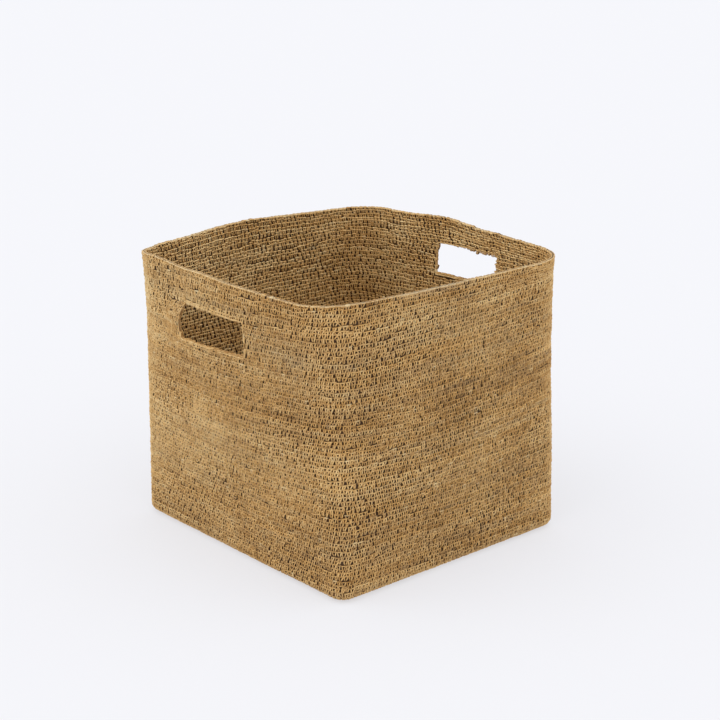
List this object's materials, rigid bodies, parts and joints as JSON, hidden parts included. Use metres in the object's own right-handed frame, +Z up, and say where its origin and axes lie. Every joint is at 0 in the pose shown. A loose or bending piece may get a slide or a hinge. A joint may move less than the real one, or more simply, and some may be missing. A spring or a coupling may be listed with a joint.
{
  "type": "storage basket",
  "caption": "Open, roughly square basket of crocheted seagrass cord, with soft upright walls, a flat woven base and a hand opening in each side wall.",
  "frame": {"origin": "centre of the base, on the floor", "axes": "+Z up; the hand openings are in the -X (left) and +X (right) walls; -Y is the front"},
  "size_m": [0.3677, 0.3776, 0.3251],
  "materials": {
    "seagrass_wall": "matte crocheted seagrass cord, straw brown with light and dark strands",
    "seagrass_base": "matte crocheted seagrass cord, slightly darker",
    "seagrass_rim": "matte seagrass cord, pale where it catches the light"
  },
  "bodies": {
    "root": {"base_panel": "seagrass_base", "base_turn_round": "seagrass_base", "wall_lower": "seagrass_wall", "wall_middle_front": "seagrass_wall", "wall_middle_back": "seagrass_wall", "wall_grip_band": "seagrass_wall", "rim_round": "seagrass_rim", "handle_edging_left": "seagrass_rim", "handle_edging_right": "seagrass_rim"}
  },
  "joints": []
}
